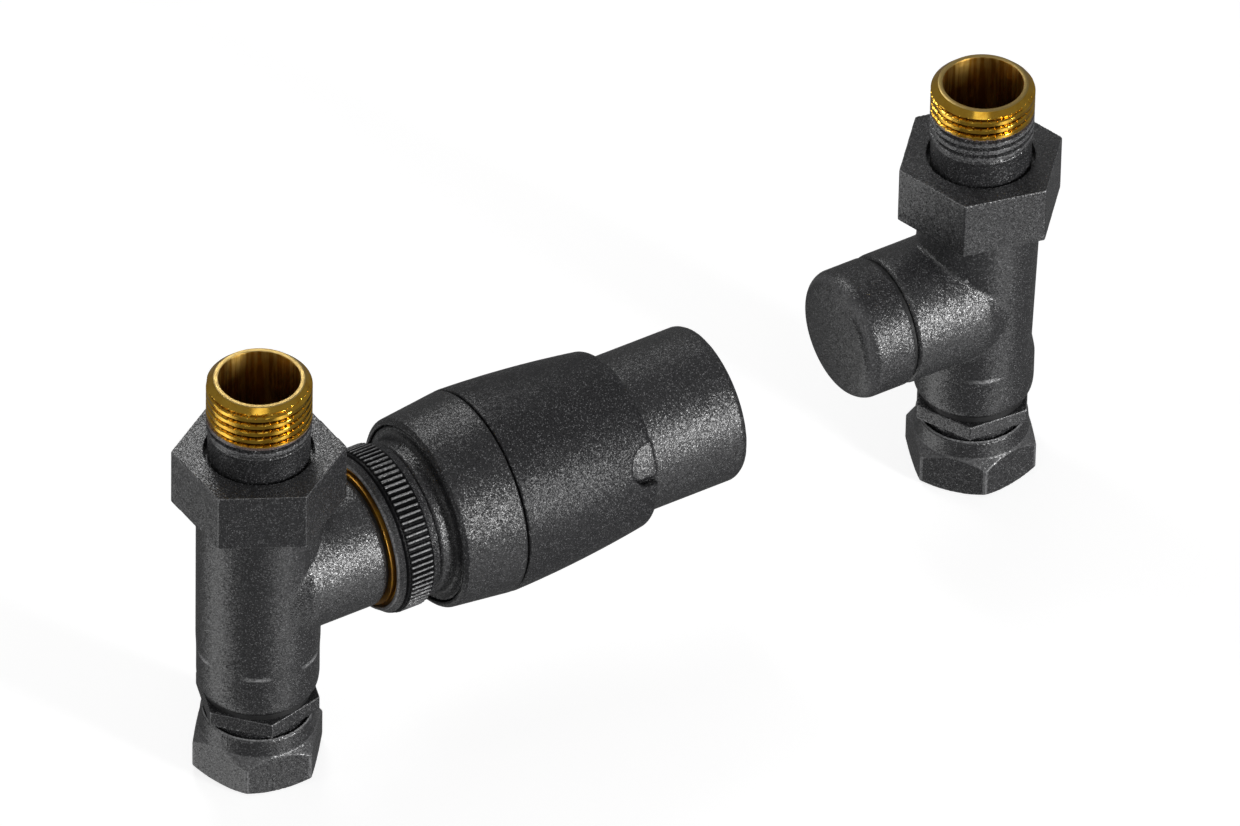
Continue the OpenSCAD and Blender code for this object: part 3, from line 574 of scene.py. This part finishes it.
def cap_rim_highlight(n):
    """A painted highlight in a ring where the cap's face turns into its side."""
    end, cap_r = near_end("ls_cap")
    radius, along = n.about(LENGTHWISE, n.place(end))
    away = n.math("ABSOLUTE", n.math("SUBTRACT", radius, cap_r - 1.1 * MM))
    ring = n.ramp(away, 0, 1.2 * MM, 0.26, 0)
    return n.math("MULTIPLY", ring, n.ramp(along, 2.6 * MM, 3.4 * MM, 1, 0))


NUT_FLAT_R, NUT_CORNER_R = 12.0 * MM, 13.86 * MM
COLLAR_RIM_R = 10.80 * MM


def nut_wear_and_highlight(node, axis):
    """Lighter coat on a compression nut, as painted highlight lines that are partly rubbed coat: its
    collar's rim, its upright corners and its chamfer's arcs.
    """
    low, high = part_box(node)
    height = high.z - low.z
    arc_up = 6.9 * MM

    def wear_and_highlight(n):
        radius, up = n.about(UPRIGHT, n.place((axis.x, axis.y, low.z)))
        on_rim = n.ramp(radius, COLLAR_RIM_R - 0.05 * MM, COLLAR_RIM_R + 0.15 * MM)
        rim = n.math("MULTIPLY", on_rim, n.ramp(up, height - 0.40 * MM, height - 0.10 * MM))
        corner = n.ramp(radius, NUT_CORNER_R - 0.36 * MM, NUT_CORNER_R - 0.18 * MM, 0, 0.5)
        # The chamfer is a 45 degree cone, so its edge on a flat drops as fast as the radius grows.
        arc_z = n.math("SUBTRACT", arc_up + NUT_CORNER_R, radius)
        away = n.math("ABSOLUTE", n.math("SUBTRACT", up, arc_z))
        on_flat = n.ramp(radius, NUT_FLAT_R - 0.5 * MM, NUT_FLAT_R - 0.2 * MM)
        arc = n.math("MULTIPLY", n.ramp(away, 0.10 * MM, 0.32 * MM, 0.24, 0), on_flat)
        return n.math("MAXIMUM", n.math("MAXIMUM", rim, corner), arc)
    return wear_and_highlight


def recessed_collar(node, axis):
    """Shape of a compression nut: inside a thin rim, the collar's top face lies lower than the CAD's."""
    nut_top = top(node)
    collar_h, recess, step = 3.5 * MM, 1.3 * MM, 0.25 * MM

    def shape(vertex):
        co = vertex.co
        radius = math.hypot(co.x - axis.x, co.y - axis.y)
        up = co.z - (nut_top - collar_h)
        if up < 0:
            return co
        share = eased((COLLAR_RIM_R - radius) / step)
        return Vector((co.x, co.y, co.z - recess * share * up / collar_h))
    return shape


for valve, axis, ridge, hollow_back in (("trv", TRV_AXIS, TRV_RIDGE, 0.0),
                                        ("ls", LS_AXIS, LS_RIDGE, 0.9 * MM)):
    body = valve + "_valve_body"
    nut = valve + "_compression_nut"
    body_coat = make_coat(valve + "_body_coat", METAL_GLOSS, body_wear_and_highlight(body, axis, ridge))
    nut_coat = make_coat(valve + "_nut_coat", METAL_GLOSS, nut_wear_and_highlight(nut, axis))
    soften(body, 0.34 * MM, 12, forged_body(body, axis, ridge, hollow_back), body_coat)
    soften(valve + "_union_nut", 0.22 * MM, 3)
    soften(valve + "_pipe_adaptor", 0.20 * MM, 4)
    soften(nut, 0.19 * MM, 3, recessed_collar(nut, axis), nut_coat)
soften("head_neck", 0.34 * MM, 3, material=end_coat)
soften("head_lower_sleeve", 0.245 * MM, 2, material=lower_coat)
soften("head_outer_sleeve", 0.375 * MM, 2, material=outer_coat)
soften("head_end_sleeve", 0.36 * MM, 2, material=end_coat)
soften("ls_cap", 0.22 * MM, 4, round_cap(), make_coat("graphite_cap_coat", END_GLOSS, cap_rim_highlight))


# ---------------------------------------------------------------- turned pieces

def lathe(name, origin, turn, rows, columns):
    """A closed solid of revolution; each row gives a radius and a height for an angle."""
    mesh = bmesh.new()
    rings = []
    for row in rows:
        ring = []
        for k in range(columns):
            angle = 2 * math.pi * k / columns
            radius, along = row(angle)
            point = Vector((radius * math.cos(angle), radius * math.sin(angle), along))
            ring.append(mesh.verts.new(origin + turn @ point))
        rings.append(ring)
    for ring, following in zip(rings, rings[1:] + rings[:1]):
        for k in range(columns):
            j = (k + 1) % columns
            mesh.faces.new((ring[k], ring[j], following[j], following[k]))
    bmesh.ops.recalc_face_normals(mesh, faces=mesh.faces)
    data = bpy.data.meshes.new(name)
    mesh.to_mesh(data)
    mesh.free()
    return new_piece(name, data)


def circles(*places):
    """Plain rows of a lathe, from pairs of a radius and a height."""
    return [lambda angle, place=place: place for place in places]


# ---------------------------------------------------------------- knurled collar nut

RIBS = 78
RIB_H = 0.44 * MM
RIB_FOOT, RIB_FLANK = 0.34, 0.24
# Painted shade for the knurl's roots: its colour and its gloss.
COAT_ROOT_SHADE, ROOT_SHADE_GLOSS = (0.005, 0.005, 0.0055), 0.05


def rib(angle):
    """Share of a rib's height at an angle: a narrow rounded crest between wide grooves."""
    step = (angle * RIBS / (2 * math.pi)) % 1
    return eased((RIB_FOOT - abs(step - 0.5)) / RIB_FLANK)


def make_knurl_coat(node):
    """Coat of the collar nut, lighter on the ribs' crests, the mouth's lip and the bevel as painted
    highlight and rubbed coat, with painted shade at the roots.
    """
    n = new_material("graphite_knurl_coat")
    end, crest_r = near_end(node)
    radius, along = n.about(LENGTHWISE, n.place(end))

    # The ribs' crests, the mouth's lip and the bevel get lighter coat: painted highlight, partly rubbed
    # coat.
    def wear_and_highlight(n):
        crests = n.ramp(radius, crest_r - 0.07 * MM, crest_r - 0.01 * MM, 0, 0.85)
        lip = n.ramp(along, 0.15 * MM, 0.50 * MM, 1, 0)
        bevel = n.ramp(along, 1.2 * MM, 1.6 * MM, 0.16, 0)
        return n.math("MAXIMUM", n.math("MAXIMUM", crests, lip), bevel)

    colour, roughness, normal = coat_parts(n, wear_and_highlight)
    # Painted shade in the knurl's roots: a near-black colour and little gloss.
    root_r = crest_r - RIB_H
    on_knurl = n.ramp(radius, root_r - 0.15 * MM, root_r - 0.05 * MM)
    below_crest = n.ramp(radius, crest_r - 0.30 * MM, crest_r - 0.08 * MM, 1, 0)
    root = n.math("MULTIPLY", on_knurl, below_crest)
    return n.finish(Base_Color=n.mix(root, colour, COAT_ROOT_SHADE), Roughness=roughness, Normal=normal,
                    Specular_IOR_Level=n.ramp(root, 0, 1, END_GLOSS, ROOT_SHADE_GLOSS))


def knurled_nut(node):
    """The collar nut: a bore behind a thin mouth, a bevel, a collar, the knurl and a holed far end."""
    low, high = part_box(node)
    end, crest_r = near_end(node)
    length = high.x - low.x
    bore_r, hole_r, collar_r = 15.0 * MM, 13.65 * MM, 16.80 * MM
    bevel_low_r, bevel_high_r, far_r = 16.50 * MM, 16.72 * MM, 16.15 * MM
    end_wall, lip_edge, edge = 1.75 * MM, 0.12 * MM, 0.10 * MM
    knurl_low, knurl_high, run_out = 2.3 * MM, 7.6 * MM, 0.22 * MM

    def ribbed(along, share):
        """A row of the knurl, at a share of the ribs' full height."""
        return lambda angle: (crest_r - RIB_H * (1 - share * rib(angle)), along)

    rows = circles((bore_r, length - end_wall), (bore_r, lip_edge), (bore_r + edge, 0),
                   (bore_r + 0.45 * MM, 0), (bore_r + 0.60 * MM, lip_edge),
                   (bevel_low_r, 1.45 * MM), (bevel_high_r, 1.68 * MM),
                   (collar_r, 1.95 * MM), (collar_r, knurl_low - 0.05 * MM))
    rows += [ribbed(knurl_low, 0.0), ribbed(knurl_low + run_out, 0.85),
             ribbed(knurl_low + 2 * run_out, 1.0), ribbed((knurl_low + knurl_high) / 2, 1.0),
             ribbed(knurl_high - 2 * run_out, 1.0), ribbed(knurl_high - run_out, 0.85),
             ribbed(knurl_high, 0.0)]
    rows += circles((bevel_low_r, knurl_high + 0.30 * MM), (far_r, length - 0.15 * MM),
                    (far_r - 0.25 * MM, length), (hole_r + edge, length), (hole_r, length - edge),
                    (hole_r, length - end_wall))
    lay_down = Matrix.Rotation(math.pi / 2, 3, "Y")
    piece = lathe("trv_collar_nut_knurled", end, lay_down, rows, 12 * RIBS)
    smooth_by_angle(piece, 40)
    stands_for(piece, node, make_knurl_coat(node))


knurled_nut("trv_collar_nut")


# ---------------------------------------------------------------- threaded tails

PITCH = 1.814 * MM
THREAD_LENGTH = 13.2 * MM
THREAD_DEPTH = 0.80 * MM
NICKS = 42
NICK_DEPTH = 0.44 * MM
CHAMFER_SLOPE = 1.02


def groove(phase):
    """Share of the thread's depth at a phase of the pitch: wide flat crest, V flanks, narrow root."""
    side = abs(2 * (phase % 1) - 1)
    return clamped((side - 0.46) / 0.47)


def tent(value, middle, half):
    """Falls evenly from 1 at the middle to 0 at half a width from it."""
    return max(0.0, 1 - abs(value - middle) / half)


def nick(angle, cut):
    """Share of a nick's depth: short cuts across the shoulders of the crests, evenly spaced."""
    step = (angle * NICKS / (2 * math.pi)) % 1
    return tent(step, 0.5, 0.14) * tent(cut, 0.42, 0.38)


def threaded_tail(node, axis, start, material):
    """The tail with its helical thread, inside the CAD solid's outline. start turns the thread."""
    low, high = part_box(node)
    flange_r, flange_top = (high.x - low.x) / 2, low.z + 2.9 * MM
    bore_edge, edge = 0.33 * MM, 0.08 * MM
    thread_low, thread_top = high.z - THREAD_LENGTH, high.z - 0.06 * MM
    levels = int((thread_top - thread_low) / (PITCH / 16))

    def threaded(z):
        """A row of the thread, which runs out at its lower end and under the chamfer at its top."""
        depth = THREAD_DEPTH * clamped((z - thread_low) / (0.7 * PITCH))
        nick_depth = NICK_DEPTH * min(1, depth / THREAD_DEPTH)
        swell = clamped((z - thread_low) / (0.5 * PITCH))
        chamfer_r = TAIL_RIM_R + (high.z - z) * CHAMFER_SLOPE

        def row(angle):
            cut = groove((z - thread_low) / PITCH - angle / (2 * math.pi) + start)
            radius = THREAD_R - depth * cut - nick_depth * nick(angle, cut)
            return min(chamfer_r, TAIL_SHANK_R + (radius - TAIL_SHANK_R) * swell), z
        return row

    rows = circles((TAIL_BORE_R, low.z), (flange_r, low.z), (flange_r, flange_top),
                   (TAIL_SHANK_R, flange_top), (TAIL_SHANK_R, UNION_TOP), (TAIL_SHANK_R, thread_low))
    rows += [threaded(thread_low + (thread_top - thread_low) * i / levels) for i in range(1, levels + 1)]
    rows += circles((TAIL_RIM_R - 0.04 * MM, high.z), (TAIL_BORE_R + bore_edge, high.z),
                    (TAIL_BORE_R + edge, high.z - edge), (TAIL_BORE_R, high.z - bore_edge),
                    (TAIL_BORE_R, (high.z + low.z) / 2))
    foot = Vector((axis.x, axis.y, 0))
    piece = lathe(node + "_threaded", foot, Matrix.Identity(3), rows, 12 * NICKS)
    smooth_by_angle(piece, 38)
    stands_for(piece, node, material)


threaded_tail("trv_tailpiece", TRV_AXIS, 0.15, trv_tail_finish)
threaded_tail("ls_tailpiece", LS_AXIS, 0.27, ls_tail_finish)


# ---------------------------------------------------------------- return spring

def return_spring(node):
    """A smooth-shaded copy of the insert's spring in the node's place, fixed where it lies at rest."""
    piece = new_piece(node + "_turns", nodes[node].data.copy())
    smooth_by_angle(piece, 40)
    paint(piece, by_slot[slot_of[node]])
    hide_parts(node)
    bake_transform(piece)


return_spring("trv_insert_spring")


# ---------------------------------------------------------------- camera

AZIMUTH, ELEVATION, ROLL = (math.radians(a) for a in (-32.39, 40.21, 1.18))
CAMERA_DISTANCE = 3.9795
AIM_OFFSET = Vector((-1.0, 2.4, 1.2)) * MM
SENSOR_MM, LENS_MM = 36, 580.6


def make_camera():
    ahead = Vector((-math.sin(AZIMUTH) * math.cos(ELEVATION), math.cos(AZIMUTH) * math.cos(ELEVATION),
                    -math.sin(ELEVATION)))
    level_right = Vector((math.cos(AZIMUTH), math.sin(AZIMUTH), 0))
    level_up = level_right.cross(ahead)
    right = math.cos(ROLL) * level_right + math.sin(ROLL) * level_up
    up = math.cos(ROLL) * level_up - math.sin(ROLL) * level_right
    camera = bpy.data.objects.new("camera", bpy.data.cameras.new("camera"))
    camera.data.sensor_width = SENSOR_MM
    camera.data.lens = LENS_MM
    camera.data.clip_start, camera.data.clip_end = 0.1, 20
    turn = Matrix((right, up, -ahead)).transposed().to_4x4()
    camera.matrix_world = Matrix.Translation(MIDDLE + AIM_OFFSET - CAMERA_DISTANCE * ahead) @ turn
    scene.collection.objects.link(camera)
    scene.camera = camera


make_camera()


# ---------------------------------------------------------------- floor and light

FLOOR_GREY, FLOOR_GLOW, FLOOR_GAP = 0.42, 0.80, 0.2 * MM
WORLD_LOW, WORLD_HIGH = 0.13, 0.20

# Bright upright strips of the world: direction and half the width in degrees, and strength.
STRIPS = ((157.0, 23, 1.4), (-70.0, 13, 1.25))
STRIP_FULL = 0.35


def make_floor():
    """A plain floor that takes the object's shadow, and is white to the camera."""
    mesh = bmesh.new()
    bmesh.ops.create_grid(mesh, x_segments=1, y_segments=1, size=4)
    data = bpy.data.meshes.new("floor")
    mesh.to_mesh(data)
    mesh.free()
    floor = new_piece("floor", data)
    floor.location.z = cad_box[0].z - FLOOR_GAP
    n = new_material("floor")
    path = n.add("ShaderNodeLightPath")
    n.finish(Base_Color=(FLOOR_GREY,) * 3, Roughness=0.9, Specular_IOR_Level=0.0,
             Emission_Color=(1, 1, 1),
             Emission_Strength=n.math("MULTIPLY", path.outputs["Is Camera Ray"], FLOOR_GLOW))
    # Gloss on the object mirrors the world through the floor.
    clear = n.add("ShaderNodeBsdfTransparent")
    mixed = n.add("ShaderNodeMixShader")
    n.link(path.outputs["Is Glossy Ray"], mixed.inputs["Fac"])
    n.link(n.tree.nodes["Principled BSDF"].outputs[0], mixed.inputs[1])
    n.link(clear.outputs[0], mixed.inputs[2])
    n.link(mixed.outputs[0], n.tree.nodes["Material Output"].inputs["Surface"])
    floor.data.materials.append(n.owner)


def make_world():
    """White to the camera; to the object a soft studio with a tall bright strip on either side."""
    scene.world = bpy.data.worlds.new("studio")
    n = Nodes(scene.world)
    upward = n.split(n.way)[2]
    flat = n.vector("NORMALIZE", n.vector("MULTIPLY", n.way, (1, 1, 0)))
    low_down = n.ramp(upward, 0.1, 0.35, 1, 0)
    strength = n.ramp(upward, -0.9, 0.9, WORLD_LOW, WORLD_HIGH)
    for turn, half_width, power in STRIPS:
        strip_way = (math.cos(math.radians(turn)), math.sin(math.radians(turn)), 0)
        edge = math.cos(math.radians(half_width))
        full = 1 - (1 - edge) * STRIP_FULL
        near = n.ramp(n.vector("DOT_PRODUCT", flat, strip_way), edge, full, 0, power)
        strength = n.math("ADD", strength, n.math("MULTIPLY", near, low_down))
    path = n.add("ShaderNodeLightPath")
    strength = n.math("MAXIMUM", strength, path.outputs["Is Camera Ray"])
    n.link(strength, n.tree.nodes["Background"].inputs["Strength"])
    n.tree.nodes["Background"].inputs["Color"].default_value = (1, 1, 1, 1)


def softbox(name, place, width, height, power, aim=MIDDLE):
    """A rectangular lamp at a place, which looks at the middle of the object or at aim."""
    lamp = bpy.data.lights.new(name, "AREA")
    lamp.shape = "RECTANGLE"
    lamp.size, lamp.size_y = width, height
    lamp.energy = power
    holder = bpy.data.objects.new(name, lamp)
    holder.location = place
    holder.rotation_mode = "QUATERNION"
    holder.rotation_quaternion = (holder.location - aim).to_track_quat("Z", "Y")
    holder.visible_camera = False
    scene.collection.objects.link(holder)


def from_middle(direction, distance):
    return MIDDLE + Vector(direction).normalized() * distance


make_floor()
make_world()
softbox("key", from_middle((0.355, -0.90, 0.20), 1.2), 0.17, 0.54, 11.0)
softbox("behind", from_middle((0.24, 0.645, 0.715), 1.4), 0.6, 0.5, 0.6)
softbox("near_left", Vector((0.089, 0.226, 0.315)), 0.08, 0.13, 0.25, Vector((0.0, 0.0, 0.06)))
softbox("left", from_middle((-0.95, 0.10, 0.30), 1.4), 0.4, 0.6, 1.7)
softbox("low_left", from_middle((-0.83, -0.42, 0.05), 1.4), 0.35, 0.30, 0.7)
softbox("front", from_middle((-0.35, -0.54, 0.76), 1.5), 0.6, 0.6, 1.0)

scene.view_settings.view_transform = "Standard"
